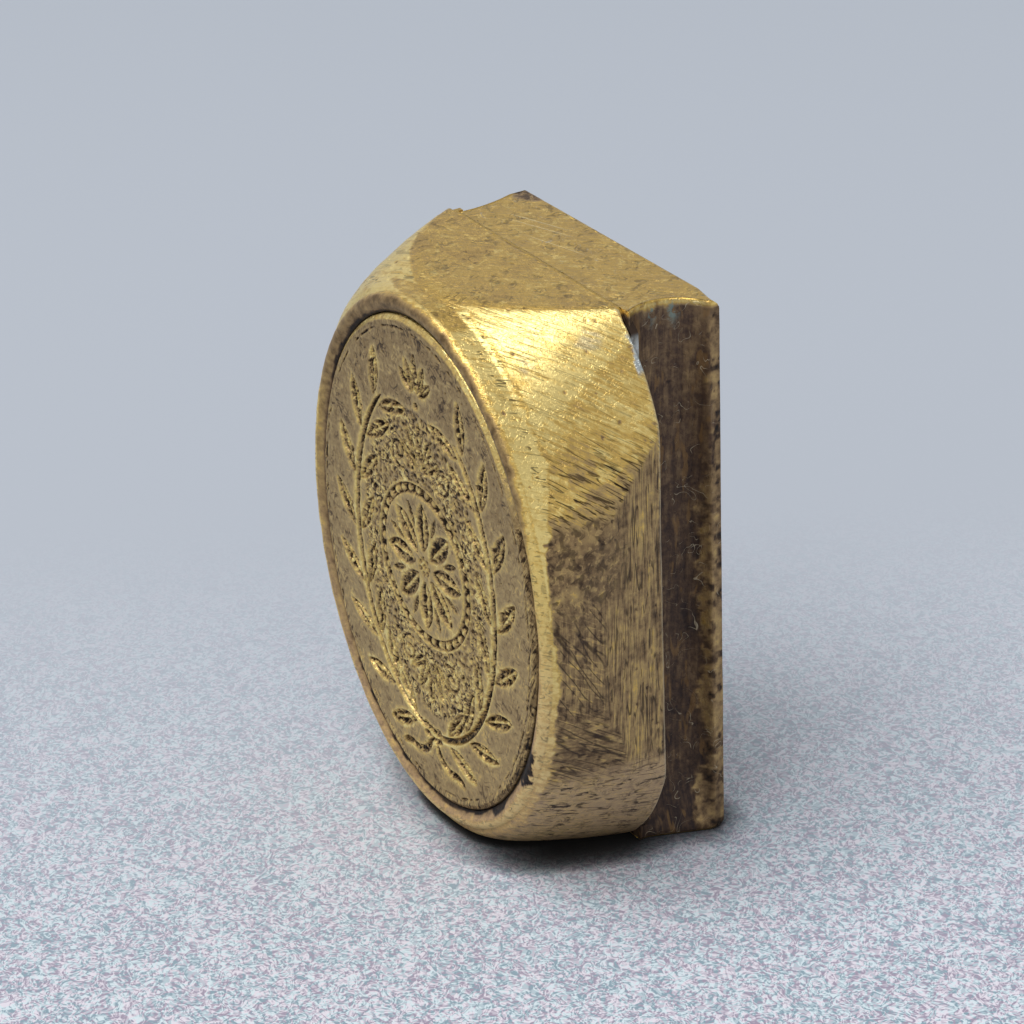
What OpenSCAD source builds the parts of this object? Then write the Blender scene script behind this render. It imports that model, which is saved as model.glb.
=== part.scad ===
// Wax seal stamp without a handle: a soldered brass seal matrix that stands on its end.
// The seal face looks to -Y, the flat back to +Y, and the more heavily filed side is at +X.

/* [Block] */
// Height between the two flat ends
stamp_h = 25; // [22:0.5:32]
// Depth of the head, from the rim to its flat rear
head_d = 6.4; // [5:0.1:10]
// Depth of the back block
back_d = 3.7; // [3:0.1:8]
// Thickness of the solder between head and back block
joint_t = 0.1; // [0.05:0.05:0.3]

/* [Oval front] */
// Width over the rounded rim
oval_w = 19.3; // [17:0.1:24]
// Gap between the top of the rim and the upper end
rim_gap_top = 0.15; // [0.05:0.05:1]
// Gap between the bottom of the rim and the lower end
rim_gap_sole = 0.55; // [0.1:0.05:1]
// Radius of the rounded rim
rim_r = 0.4; // [0.2:0.05:0.8]
// Depth of the straight land behind the upper rim
land_d = 0.8; // [0.3:0.1:1.5]
// Width of the bezel that slopes from the rim to the die
bezel_w = 0.45; // [0.3:0.05:1]
// How far the bezel sinks towards the die
bezel_drop = 0.25; // [0.1:0.05:0.5]

/* [Filed flank] */
// Width of the head across its flat sides, where it meets the back block
rear_w = 17.3; // [15.6:0.1:21]
// How far the filed outline would stand out past the flat sides at the rear
side_spare = 1; // [0.4:0.1:2]
// How far it would stand out past the upper end at the rear
top_spare = 1.45; // [0.6:0.05:3]
// How far it would stand out past the lower end at the rear
sole_spare = 1.25; // [0.6:0.05:3]
// Fullness of the filed upper corner on the near side, 2 for an oval
near_top_full = 2.6; // [2:0.05:6]
// Fullness of the upper corner on the far side
far_top_full = 4.1; // [2:0.1:8]
// Fullness of both lower corners
low_full = 2.65; // [2:0.05:6]

/* [Back block] */
// Width of the back block over its lips
back_w = 14.8; // [13.4:0.1:15.6]
// Depth of the flat lip beside the rear face, on the near side
near_lip_d = 0.5; // [0.3:0.1:1]
// Radius of the cove along the near side
near_cove_r = 2.1; // [1.8:0.1:4]
// Depth of the cove along the near side
near_cove_depth = 1.4; // [0.6:0.1:1.6]
// Height of the sloping foot on which the near cove ends
foot_h = 2.8; // [1:0.1:5]
// How far the foot still stands back from the lip where it meets the head
foot_back = 1.2; // [0.6:0.1:1.8]
// Depth of the near lip where it widens into the foot
foot_lip_d = 0.7; // [0.6:0.1:1.4]
// How far the foot leans in over its height
foot_lean = 0.85; // [0.5:0.05:1.5]
// Depth of the flat lip on the far side
far_lip_d = 0.9; // [0.3:0.1:1.2]
// Radius of the flatter cove along the far side
far_cove_r = 6; // [3:0.1:8]
// Depth of the cove along the far side
far_cove_depth = 0.45; // [0.3:0.05:1.2]
// Height and depth of the run of solder in the corner of each cove
bead = 0.25; // [0.1:0.05:0.4]

/* [Die] */
// Thickness of the engraved die
die_t = 1.2; // [0.8:0.1:2.5]
// Gap around the die in its seat
die_gap = 0.05; // [0.02:0.01:0.15]
// How far the die's face sits below the top of the rim
die_sink = 0.05; // [0:0.05:0.1]
// Thickness of the solder under the die
seat_solder_t = 0.1; // [0.05:0.05:0.3]

/* [Engraving] */
// Depth of the engraved wreath and rosette
cut_d = 0.25; // [0.1:0.05:0.5]
// Distance from the edge of the die to the stems of the wreath
wreath_inset = 3.1; // [2:0.1:5]
// Number of leaf pairs on each side of the wreath
leaf_pairs = 8; // [4:1:10]
// Length of a leaf
leaf_l = 2.4; // [1.5:0.1:3]
// Width of a leaf
leaf_w = 0.8; // [0.4:0.05:1.2]
// Number of petals of the rosette
petals = 8; // [5:1:12]
// Length of a petal
petal_l = 2.3; // [1:0.1:3]
// Width of a petal
petal_w = 1.1; // [0.4:0.05:1.4]
// Uncut middle of the rosette, from its centre to the petals
eye_r = 0.7; // [0.4:0.05:1.2]

/* [Hidden] */
// Points around each section of the head
ring_n = 72;
// Sections along the flank, from the rear to the rim
flank_n = 10;
// Crowding of those sections towards the rim
flank_crowd = 1.5;
// Sections around the rounded rim
rim_n = 4;
// How early the lower flank drops to the sole behind the rim
sole_sweep = 0.4;
// How long the upper corner on the far side stays full on the way to the rim
far_top_hold = 0.65;
// Clearance of the flat sides past the rim
side_clear = 0.1;
// Where the stems cross below and end above, as angles from the bottom of the wreath
stem_from = -9;
stem_to = 148;
// Points along each stem, and its width
stem_n = 20;
stem_w = 0.3;
// Angle between a leaf and the stem
leaf_tilt = 34;
// Distance from the stem to the root of a leaf
leaf_gap = 0.15;
// How far a leaf is rooted before its step, as an angle
leaf_lead = 8.5;
// Facets that a cove or a leaf would have as a full circle
round_n = 96;
// Overlap of cutting solids past the faces they cut
eps = 0.5;

stamp_d = head_d + joint_t + back_d;
front_y = -stamp_d / 2;
head_rear_y = front_y + head_d;
back_front_y = head_rear_y + joint_t;
back_y = stamp_d / 2;

oval_h = stamp_h - rim_gap_top - rim_gap_sole;
oval_z = rim_gap_sole + oval_h / 2;
flank_d = head_d - rim_r;
land = land_d / flank_d;
rear_half_w = rear_w / 2 + side_spare;
rear_up = stamp_h - oval_z + top_spare;
rear_down = oval_z + sole_spare;

seat_w = oval_w - 2 * (rim_r + bezel_w);
seat_h = oval_h - 2 * (rim_r + bezel_w);
die_w = seat_w - 2 * die_gap;
die_h = seat_h - 2 * die_gap;
die_front_y = front_y + die_sink;
die_rear_y = die_front_y + die_t;
seat_y = die_rear_y + seat_solder_t;
stem_a = die_w / 2 - wreath_inset;
stem_b = die_h / 2 - wreath_inset;

// In these functions phi is the direction round the oval, seen from the front, and u the
// place along the flank: 1 at the rear of the head, 0 at the rim.

// Exponent of the outline: fuller corners at the rear, a plain oval at the rim
function exponent(phi, u) =
    phi < 90 ? 2 + (near_top_full - 2) * u
    : phi < 180 ? 2 + (far_top_full - 2) * pow(u, far_top_hold)
    : 2 + (low_full - 2) * u;

// Distance from the middle to a superellipse of half-axes 1
function reach(phi, n) = pow(pow(abs(cos(phi)), n) + pow(abs(sin(phi)), n), -1 / n);

// Half-width and half-height of the flank's sections
function flank_half_w(u) = oval_w / 2 + (rear_half_w - oval_w / 2) * u;
function flank_half_h(phi, u) =
    phi < 180 ? oval_h / 2 + (rear_up - oval_h / 2) * max(0, (u - land) / (1 - land))
    : oval_h / 2 + (rear_down - oval_h / 2) * pow(u, sole_sweep);

// One closed section of the flank
function flank_section(u) = [
    for (i = [0:ring_n - 1])
        let (phi = 360 * i / ring_n, s = reach(phi, exponent(phi, u)))
            [flank_half_w(u) * s * cos(phi), head_rear_y - (1 - u) * flank_d,
             oval_z + flank_half_h(phi, u) * s * sin(phi)]
];

// One plain oval at depth y
function oval_section(w, h, y) = [
    for (i = [0:ring_n - 1])
        let (phi = 360 * i / ring_n)
            [w / 2 * cos(phi), y, oval_z + h / 2 * sin(phi)]
];

// Closed skin over equal sections, given from the rear to the front
module loft(sections) {
    last = len(sections) - 1;
    side = [
        for (k = [0:last - 1], i = [0:ring_n - 1])
            let (a = k * ring_n, b = a + ring_n, j = (i + 1) % ring_n)
                each [[a + i, b + i, b + j], [a + i, b + j, a + j]]
    ];
    rear = [for (i = [0:ring_n - 1]) i];
    front = [for (i = [ring_n - 1:-1:0]) last * ring_n + i];
    polyhedron([for (s = sections) each s], concat([rear, front], side));
}

// Flat oval plate between two depths
module oval_plate(w, h, y0, y1) {
    translate([0, y1, 0])
        rotate([90, 0, 0])
            linear_extrude(y1 - y0)
                polygon([for (p = oval_section(w, h, 0)) [p.x, p.z]]);
}

// Filed form of the head, before its ends and sides are cut flat: flank, rim and bezel
module head_blank() {
    flank = [for (k = [0:flank_n]) flank_section(pow(1 - k / flank_n, flank_crowd))];
    rim = [
        for (k = [1:rim_n])
            let (turn = 90 * k / rim_n, inset = 2 * rim_r * (1 - cos(turn)))
                oval_section(oval_w - inset, oval_h - inset, front_y + rim_r * (1 - sin(turn)))
    ];
    bezel = [oval_section(seat_w, seat_h, front_y + bezel_drop)];
    loft(concat(flank, rim, bezel));
}

// Half-width across the flat sides, at distance d in front of the head's rear
function bar_half_w(d) = rear_w / 2 + (oval_w / 2 + side_clear - rear_w / 2) * d / flank_d;

// The bar that the head was filed from: flat ends, and flat sides that flare to the front
module head_bar() {
    rear_half = bar_half_w(0);
    front_half = bar_half_w(head_d + eps);
    linear_extrude(stamp_h)
        polygon([
            [-rear_half, head_rear_y], [-front_half, front_y - eps],
            [front_half, front_y - eps], [rear_half, head_rear_y]
        ]);
}

// Distance from a lip to the deepest line of its cove, along the depth of the block
function cove_run(r, depth) = sqrt(r * r - (r - depth) * (r - depth));

// Half-width of the back block at its front, where it meets the head
function neck_x(r, depth, lip_d) =
    let (dy = back_d - lip_d - cove_run(r, depth), left = max(0, r * r - dy * dy))
        min(back_w / 2, back_w / 2 - depth + r - sqrt(left));

// Cove along one side of the back block; side is 1 for the near side and -1 for the far side
module cove(side, r, depth, lip_d) {
    translate([side * (back_w / 2 - depth + r), back_y - lip_d - cove_run(r, depth), -eps])
        cylinder(h = stamp_h + 2 * eps, r = r, $fn = round_n);
}

module back_bar() {
    translate([-back_w / 2, back_front_y, 0])
        cube([back_w, back_d, stamp_h]);
}

// Metal left at the lower end of the near cove, with one flat face that slopes from the cove
// to a line between the lip and the head
module foot() {
    run = back_d - foot_lip_d;
    profile = [[0, 0], [foot_lean, foot_h], [2 * foot_lean, foot_h], [2 * foot_lean, 0]];
    intersection() {
        back_bar();
        translate([back_w / 2 - foot_back, back_front_y, 0])
            rotate([0, 0, atan2(run, foot_back)])
                rotate([90, 0, 90])
                    translate([0, 0, -eps])
                        linear_extrude(2 * back_d)
                            polygon(profile);
    }
}

module back_blank() {
    difference() {
        back_bar();
        cove(1, near_cove_r, near_cove_depth, near_lip_d);
        cove(-1, far_cove_r, far_cove_depth, far_lip_d);
    }
    foot();
}

// Pointed leaf that runs from the origin along X
module leaf(l, w) {
    r = (l * l + w * w) / (4 * w);
    translate([l / 2, 0])
        intersection() {
            translate([0, r - w / 2]) circle(r, $fn = round_n);
            translate([0, w / 2 - r]) circle(r, $fn = round_n);
        }
}

// Point of the right-hand stem at an angle from the bottom, and the stem's direction there
function stem_point(t, a, b) = [a * sin(t), -b * cos(t)];
function stem_turn(t) = atan2(stem_b * sin(t), stem_a * cos(t));

// Right-hand half of the wreath: a stem with a leaf on each side of it at even steps
module wreath_side() {
    step = (stem_to - stem_from) / (stem_n - 1);
    angles = [for (i = [0:stem_n - 1]) stem_from + i * step];
    half = stem_w / 2;
    polygon(concat(
        [for (t = angles) stem_point(t, stem_a - half, stem_b - half)],
        [for (i = [stem_n - 1:-1:0]) stem_point(angles[i], stem_a + half, stem_b + half)]
    ));
    for (k = [1:leaf_pairs], side = [-1, 1]) {
        t = k * stem_to / leaf_pairs - leaf_lead;
        turn = stem_turn(t);
        translate(stem_point(t, stem_a, stem_b))
            rotate(turn + side * leaf_tilt)
                translate([leaf_gap + stem_w, 0])
                    leaf(leaf_l, leaf_w);
    }
}

module rosette() {
    for (k = [0:petals - 1])
        rotate(90 + 360 * k / petals)
            translate([eye_r, 0])
                leaf(petal_l, petal_w);
}

// Sunken design on the die's face: a wreath of two sprays around a rosette
module engraving() {
    translate([0, die_front_y + cut_d, oval_z])
        rotate([90, 0, 0])
            linear_extrude(cut_d + eps) {
                wreath_side();
                mirror([1, 0, 0]) wreath_side();
                rosette();
            }
}

module seal_head() {
    color([0.71, 0.60, 0.31])
        difference() {
            intersection() {
                head_blank();
                head_bar();
            }
            oval_plate(seat_w, seat_h, front_y - eps, seat_y);
        }
}

module seal_die() {
    color([0.46, 0.39, 0.29])
        difference() {
            oval_plate(die_w, die_h, die_front_y, die_rear_y);
            engraving();
        }
}

module die_solder() {
    color([0.66, 0.67, 0.65])
        oval_plate(die_w, die_h, die_rear_y, seat_y);
}

module back_block() {
    color([0.27, 0.22, 0.17]) back_blank();
}

// Film between head and back block, and the run of solder in the corner of each cove,
// trimmed to the outline of the head's rear
module back_solder() {
    near_x = neck_x(near_cove_r, near_cove_depth, near_lip_d) + bead;
    far_x = neck_x(far_cove_r, far_cove_depth, far_lip_d) + bead;
    color([0.66, 0.67, 0.65])
        difference() {
            intersection() {
                translate([-far_x, head_rear_y, 0])
                    cube([far_x + near_x, joint_t + bead, stamp_h]);
                translate([0, head_rear_y + joint_t + bead + eps, 0])
                    rotate([90, 0, 0])
                        linear_extrude(joint_t + bead + 2 * eps)
                            polygon([for (p = flank_section(1)) [p.x, p.z]]);
            }
            back_blank();
        }
}

seal_head();
seal_die();
die_solder();
back_block();
back_solder();
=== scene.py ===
import math

import bpy
import numpy as np
from mathutils import Matrix, Quaternion, Vector


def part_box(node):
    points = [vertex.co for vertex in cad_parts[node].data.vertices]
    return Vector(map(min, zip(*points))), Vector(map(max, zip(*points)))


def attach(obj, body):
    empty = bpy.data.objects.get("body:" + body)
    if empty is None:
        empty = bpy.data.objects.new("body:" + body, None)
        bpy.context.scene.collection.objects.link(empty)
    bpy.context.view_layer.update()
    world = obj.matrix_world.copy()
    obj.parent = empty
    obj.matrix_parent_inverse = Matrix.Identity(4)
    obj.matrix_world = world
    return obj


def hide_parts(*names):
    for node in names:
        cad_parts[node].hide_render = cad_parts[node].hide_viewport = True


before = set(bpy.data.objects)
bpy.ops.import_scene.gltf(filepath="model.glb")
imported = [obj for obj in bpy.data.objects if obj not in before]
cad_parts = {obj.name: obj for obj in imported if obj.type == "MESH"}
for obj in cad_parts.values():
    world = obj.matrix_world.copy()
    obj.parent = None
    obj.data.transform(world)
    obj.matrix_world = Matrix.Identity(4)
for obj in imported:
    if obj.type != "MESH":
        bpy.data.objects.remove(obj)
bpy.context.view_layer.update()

# Brass wax seal stamp on a pale floor. Sizes are in millimetres unless a name says otherwise.
MM = 0.001


def node_box(node):
    """Lowest and highest corner of a node, in millimetres."""
    low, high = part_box(node)
    return np.array(low) / MM, np.array(high) / MM


head_low, head_high = node_box("seal_head")
die_low, die_high = node_box("seal_die")
back_low, back_high = node_box("back_block")

# The block and the oval front
STAMP_H = head_high[2]
FRONT_Y = head_low[1]
HEAD_REAR_Y = head_high[1]
OVAL_W = head_high[0] - head_low[0]
RIM_GAP_TOP = 0.15
RIM_GAP_SOLE = 0.55
RIM_R = 0.4
LAND_D = 0.8
BEZEL_W = 0.45
BEZEL_DROP = 0.25
OVAL_H = STAMP_H - RIM_GAP_TOP - RIM_GAP_SOLE
OVAL_Z = RIM_GAP_SOLE + OVAL_H / 2
FLANK_D = HEAD_REAR_Y - FRONT_Y - RIM_R
LAND = LAND_D / FLANK_D

# The filed flank and the flat sides
REAR_W = 17.3
SIDE_CLEAR = 0.1
TOP_SPARE = 1.45
SOLE_SPARE = 1.25
NEAR_TOP_FULL = 2.6
FAR_TOP_FULL = 4.1
LOW_FULL = 2.65
SOLE_SWEEP = 0.4
FAR_TOP_HOLD = 0.65
CREASE_R = 0.16
LOW_TOP = (5.0, 6.6)
HATCH_TOP = (13.4, 14.8)
FACET_FOOT = (17.6, 18.3)
CROWN = (16.5, 20.0)
REAR_EDGE_R = 0.12

# The die, its seat and its engraving
DIE_W = die_high[0] - die_low[0]
DIE_H = die_high[2] - die_low[2]
DIE_FRONT_Y = die_low[1]
DIE_REAR_Y = die_high[1]
DIE_BEVEL = 0.07
CHAMFER_W = 0.16
CHAMFER_D = 0.12
SEAT_W = OVAL_W - 2 * (RIM_R + BEZEL_W)
SEAT_H = OVAL_H - 2 * (RIM_R + BEZEL_W)
SEAT_Y = node_box("die_solder")[1][1]
CUT = 0.25
STEM_A = DIE_W / 2 - 3.1
STEM_B = DIE_H / 2 - 3.1
STEM_W = 0.3
STEM_FROM = math.radians(-9)
STEM_TO = math.radians(148)
LEAF_PAIRS = 8
LEAF_L = 2.4
LEAF_W = 0.8
LEAF_LEAD = math.radians(8.5)
LEAF_TILT = math.radians(34)
LEAF_GAP = 0.15
PETALS = 8
PETAL_L = 2.3
PETAL_W = 1.1
PETAL_FROM = 0.7
BEAD_RING_R = 3.5

# The back block
BACK_W = back_high[0] - back_low[0]
BACK_FRONT_Y = back_low[1]
BACK_Y = back_high[1]
NEAR_COVE = {"r": 2.1, "depth": 1.4, "lip": 0.5}
FAR_COVE = {"r": 6.0, "depth": 0.45, "lip": 0.9}
FOOT_H = 2.8
FOOT_BACK = 1.2
FOOT_LIP = 0.7
FOOT_LEAN = 0.85
BACK_EDGE_R = 0.16
CORNER_R = 0.5

# Mesh density
HEAD_ANGLES = 860
FLANK_RINGS = 88
RIM_RINGS = 8
BEZEL_RINGS = 7
DIE_COLUMNS = 210
DIE_ROWS = 430
BACK_ROWS = 52
BACK_COLUMNS = 104
BACK_LEVELS = 226


def hashed(ix, iy, iz, seed):
    """Repeatable numbers from -1 to 1 at whole-number points."""
    h = ix.astype(np.uint32) * np.uint32(0x8DA6B343)
    h ^= iy.astype(np.uint32) * np.uint32(0xD8163841)
    h ^= iz.astype(np.uint32) * np.uint32(0xCB1AB31F)
    h ^= np.uint32(seed * 7919 + 101)
    h ^= h >> np.uint32(13)
    h *= np.uint32(0x5BD1E995)
    h ^= h >> np.uint32(15)
    h *= np.uint32(0x27D4EB2F)
    h ^= h >> np.uint32(16)
    return h.astype(np.float64) / 2**31 - 1


def noise(p, seed=0):
    """Smooth noise from -1 to 1 at points p, with features about 1 across."""
    cell = np.floor(p)
    f = p - cell
    f = f * f * f * (f * (f * 6 - 15) + 10)
    i = cell.astype(np.int64)
    total = 0
    for dx in (0, 1):
        for dy in (0, 1):
            for dz in (0, 1):
                weight = abs(1 - dx - f[..., 0]) * abs(1 - dy - f[..., 1]) * abs(1 - dz - f[..., 2])
                total = total + weight * hashed(i[..., 0] + dx, i[..., 1] + dy, i[..., 2] + dz, seed)
    return total


def fractal(p, octaves=3, seed=0):
    """Sum of noises, each half as large and twice as fine."""
    return sum(noise(p * 2**k, seed + k) / 2**k for k in range(octaves))


def ease(x, low, high):
    """0 below low, 1 above high and a smooth change between them."""
    t = np.clip((x - low) / (high - low), 0, 1)
    return t * t * (3 - 2 * t)


def fade(x, low, high):
    """1 below low, 0 above high and a smooth change between them."""
    return 1 - ease(x, low, high)


def smooth_min(a, b, k):
    """Smaller of two lengths, with the change between them rounded over about k."""
    h = np.maximum(k - np.abs(a - b), 0) / k
    return np.minimum(a, b) - h * h * k / 4


def blend(share, a, b):
    return a + (b - a) * share


def unit(v):
    v = np.asarray(v, float)
    return v / np.linalg.norm(v, axis=-1, keepdims=True)


def strokes(p, direction, pitch, run, seed):
    """Noise drawn out along a direction, as a file leaves it, with a slight waver."""
    along, facing = unit(direction[0]), unit(direction[1])
    across = unit(np.cross(facing, along))
    waver = 0.5 * noise(p / (run * 0.6), seed + 7)
    q = np.stack([p @ across / pitch + waver, p @ along / run, p @ facing / run], -1)
    return fractal(q, 2, seed)


def patch(p, centre, size):
    """1 at a centre, falling to 0 at about the given distances along X, Y and Z."""
    d = np.linalg.norm((p - np.array(centre)) / np.array(size), axis=-1)
    return fade(d + 0.25 * fractal(p / 0.3, 2, 61), 0.4, 1)


def pitted(p, seed):
    """Scattered small pits, 1 in the middle of each."""
    return ease(fractal(p / 0.28, 2, seed), 0.95, 1.15)


def grid_faces(rows, columns, closed):
    """Quads between neighbouring rows of points; a closed row joins its ends."""
    last = columns if closed else columns - 1
    k, i = np.meshgrid(np.arange(rows - 1), np.arange(last), indexing="ij")
    j = (i + 1) % columns
    quads = np.stack([k * columns + i, k * columns + j, (k + 1) * columns + j, (k + 1) * columns + i], -1)
    return quads.reshape(-1, 4).tolist()


def border(rows, columns):
    """Indices round the edge of a grid, once, starting along its first row."""
    grid = np.arange(rows * columns).reshape(rows, columns)
    return np.concatenate([grid[0], grid[1:, -1], grid[-1, -2::-1], grid[-2:0:-1, 0]])


def new_object(name, data):
    made = bpy.data.objects.new(name, data)
    bpy.context.scene.collection.objects.link(made)
    return made


def make_piece(name, points, faces, values, material, node):
    """Mesh piece from points in millimetres, with one number per point for each named value."""
    mesh = bpy.data.meshes.new(name)
    mesh.from_pydata((points * MM).tolist(), [], faces)
    for key, value in values.items():
        layer = mesh.attributes.new(key, "FLOAT", "POINT")
        layer.data.foreach_set("value", np.asarray(value, np.float32).ravel())
    mesh.polygons.foreach_set("use_smooth", [True] * len(mesh.polygons))
    mesh.materials.append(material)
    mesh.update()
    piece = new_object(name, mesh)
    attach(piece, "root")
    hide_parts(node)
    return piece


def ring_normals(points):
    """Outward normals of rings that run round the piece."""
    around = np.roll(points, -1, 1) - np.roll(points, 1, 1)
    along = np.gradient(points, axis=0)
    return unit(np.cross(around, along) + 1e-12)


# Directions of the hand marks: along the stroke, and the way the marked surface faces
FACET_STROKE = ((0.72, 0.64, -0.3), (0.63, -0.45, 0.62))
LAND_STROKE = ((0.1, 0.95, -0.45), (0.9, 0.0, 0.4))
STEEP_STROKE = ((0, 0.55, -0.83), (1, 0, 0))
SLANT_STROKE = ((0, 0.83, -0.55), (1, 0, 0))
SIDE_STROKE = ((0, 0.03, 1), (1, 0.18, 0))
LOW_STROKE = ((0, 1, -0.12), (0.9, 0, -0.4))
TOP_STROKE = ((0.72, 0.69, 0), (0, 0, 1))
FIELD_STROKE = ((0.35, 0, 1), (0, -1, 0))


def filed_radius(c, s, u):
    """Radius of the filed flank at a direction, from 0 at the rim to 1 at the rear."""
    upper = s > 0
    near = c > 0
    top_full = np.where(near, 2 + (NEAR_TOP_FULL - 2) * u, 2 + (FAR_TOP_FULL - 2) * u**FAR_TOP_HOLD)
    power = np.where(upper, top_full, 2 + (LOW_FULL - 2) * u)
    rear_up = STAMP_H - OVAL_Z + TOP_SPARE
    rear_down = OVAL_Z + SOLE_SPARE
    rise = max(0.0, (u - LAND) / (1 - LAND))
    up = OVAL_H / 2 + (rear_up - OVAL_H / 2) * rise
    down = OVAL_H / 2 + (rear_down - OVAL_H / 2) * u**SOLE_SWEEP
    half_h = np.where(upper, up, down)
    return ((np.abs(c) / (OVAL_W / 2)) ** power + (np.abs(s) / half_h) ** power) ** (-1 / power)


def bar_radius(c, s, u):
    """Radius at which the flat sides and ends of the bar cut a direction."""
    half_w = REAR_W / 2 + (OVAL_W / 2 + SIDE_CLEAR - REAR_W / 2) * (1 - u)
    sides = half_w / np.maximum(np.abs(c), 1e-6)
    ends = np.where(s > 0, STAMP_H - OVAL_Z, OVAL_Z) / np.maximum(np.abs(s), 1e-6)
    return np.minimum(sides, ends)


def oval_radius(c, s, w, h):
    return ((c / (w / 2)) ** 2 + (s / (h / 2)) ** 2) ** -0.5


def even_angles(count):
    """Directions round the oval, spaced for even steps along it and closer on the near side."""
    fine = np.linspace(0, 2 * np.pi, 20001)
    step = oval_radius(np.cos(fine), np.sin(fine), OVAL_W, OVAL_H) * (1 + 0.5 * (np.cos(fine) > 0))
    run = np.concatenate([[0], np.cumsum((step[1:] + step[:-1]) / 2)])
    return np.interp(np.arange(count) / count * run[-1], run, fine)


def build_head(material):
    angle = even_angles(HEAD_ANGLES)
    c, s = np.cos(angle), np.sin(angle)
    rings, depths, place = [], [], []

    def ring(radius, y, where):
        rings.append(radius)
        depths.append(y)
        place.append(where)

    def front_ring(inset, drop, where):
        ring(oval_radius(c, s, OVAL_W - 2 * inset, OVAL_H - 2 * inset), FRONT_Y + drop, where)

    rear = smooth_min(filed_radius(c, s, 1.0), bar_radius(c, s, 1.0), CREASE_R)
    at_end = ease(np.abs(rear * s), STAMP_H / 2 - 0.6, STAMP_H / 2 - 0.3)
    edge_r = REAR_EDGE_R * (1 - 0.97 * at_end)
    for share in (0.25, 0.55, 0.7, 0.8, 0.88, 0.94):
        ring(rear * share, HEAD_REAR_Y, 3)
    for k in range(4):
        turn = math.pi / 2 * k / 4
        ring(rear - edge_r * (1 - math.sin(turn)), HEAD_REAR_Y - edge_r * (1 - math.cos(turn)), 2)
    for k in range(FLANK_RINGS + 1):
        u = (1 - REAR_EDGE_R / FLANK_D) * (1 - k / FLANK_RINGS) ** 1.15
        radius = smooth_min(filed_radius(c, s, u), bar_radius(c, s, u), CREASE_R)
        ring(radius, HEAD_REAR_Y - (1 - u) * FLANK_D, 1 + u)
    for k in range(1, RIM_RINGS + 1):
        turn = math.pi / 2 * k / RIM_RINGS
        front_ring(RIM_R * (1 - math.cos(turn)), RIM_R * (1 - math.sin(turn)), 1 - 0.3 * k / RIM_RINGS)
    for k in range(1, BEZEL_RINGS + 1):
        t = k / BEZEL_RINGS
        front_ring(RIM_R + BEZEL_W * t, BEZEL_DROP * (t * t * (2 - t)), 0.7 - 0.4 * t)
    seat = oval_radius(c, s, SEAT_W, SEAT_H)
    for share in (0.35, 1.0):
        ring(seat, FRONT_Y + BEZEL_DROP + (SEAT_Y - FRONT_Y - BEZEL_DROP) * share, 0)
    ring(seat * 0.5, SEAT_Y, 0)

    radius = np.array(rings)
    y = np.stack([np.broadcast_to(depth, c.shape) for depth in depths])
    points = np.stack([radius * c, y, OVAL_Z + radius * s], -1)
    where = np.repeat(np.array(place, float)[:, None], len(c), 1)
    normal = ring_normals(points)
    values = head_surface(points, normal, where)
    height = values.pop("height")
    points = points + normal * height[..., None]
    points[..., 2] = np.clip(points[..., 2], 0, STAMP_H)

    count = HEAD_ANGLES
    flat = points.reshape(-1, 3)
    faces = grid_faces(len(rings), count, True)
    centres = np.array([[0, HEAD_REAR_Y, OVAL_Z], [0, SEAT_Y, OVAL_Z]])
    first, last = len(flat), len(flat) + 1
    end = (len(rings) - 1) * count
    faces += [(first, (i + 1) % count, i) for i in range(count)]
    faces += [(last, end + i, end + (i + 1) % count) for i in range(count)]
    values = {key: np.append(v.ravel(), [v.ravel()[0], v.ravel()[-1]]) for key, v in values.items()}
    return make_piece("seal_head_filed", np.vstack([flat, centres]), faces, values, material,
                      "seal_head")


def head_zones(p, n, where, ragged, fine):
    """Shares of the parts of the flank: its whole, the flat top and sole, the land behind the rim, all
    that is filed, and in that the facet, the low part, the hatching, the mottled part and the side."""
    y, z = p[..., 1], p[..., 2]
    flank = ease(where, 0.95, 1.0) * fade(where, 2.0, 2.4)
    top = ease(n[..., 2], 0.93, 0.985) * flank
    sole = ease(-n[..., 2], 0.93, 0.985) * flank
    flat = ease(np.abs(n[..., 0]), 0.965, 0.982) * ease(n[..., 1], 0.05, 0.15) * flank
    reach = 0.05 + 0.135 * ease(z, *CROWN) - 0.05 * np.exp(-(((z - 14.8) / 2.0) ** 2))
    reach += 0.02 * ragged + 0.014 * fine
    land = flank * fade(where, 0.98 + reach, 1.02 + reach) * (1 - top)
    filed = np.clip(flank - top - sole - land, 0, 1)
    facet = filed * (1 - flat) * ease(z + 0.35 * ragged, *FACET_FOOT)
    low = filed * fade(z + 0.4 * ragged, *LOW_TOP)
    rest = np.clip(filed - facet - low, 0, 1)
    hatch_end = -2.0 + 1.1 * fade(z, 6.5, 9)
    hatch = rest * fade(y + 0.15 * ragged, hatch_end - 0.25, hatch_end + 0.25)
    above_hatch = ease(z + 0.7 * ragged, *HATCH_TOP)
    hatch *= 1 - above_hatch
    mottle = rest * above_hatch * fade(y + 0.4 * ragged, -1.8, -0.4)
    side = np.clip(rest - hatch - mottle, 0, 1)
    return flank, top, sole, land, filed, facet, low, hatch, mottle, side


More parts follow.
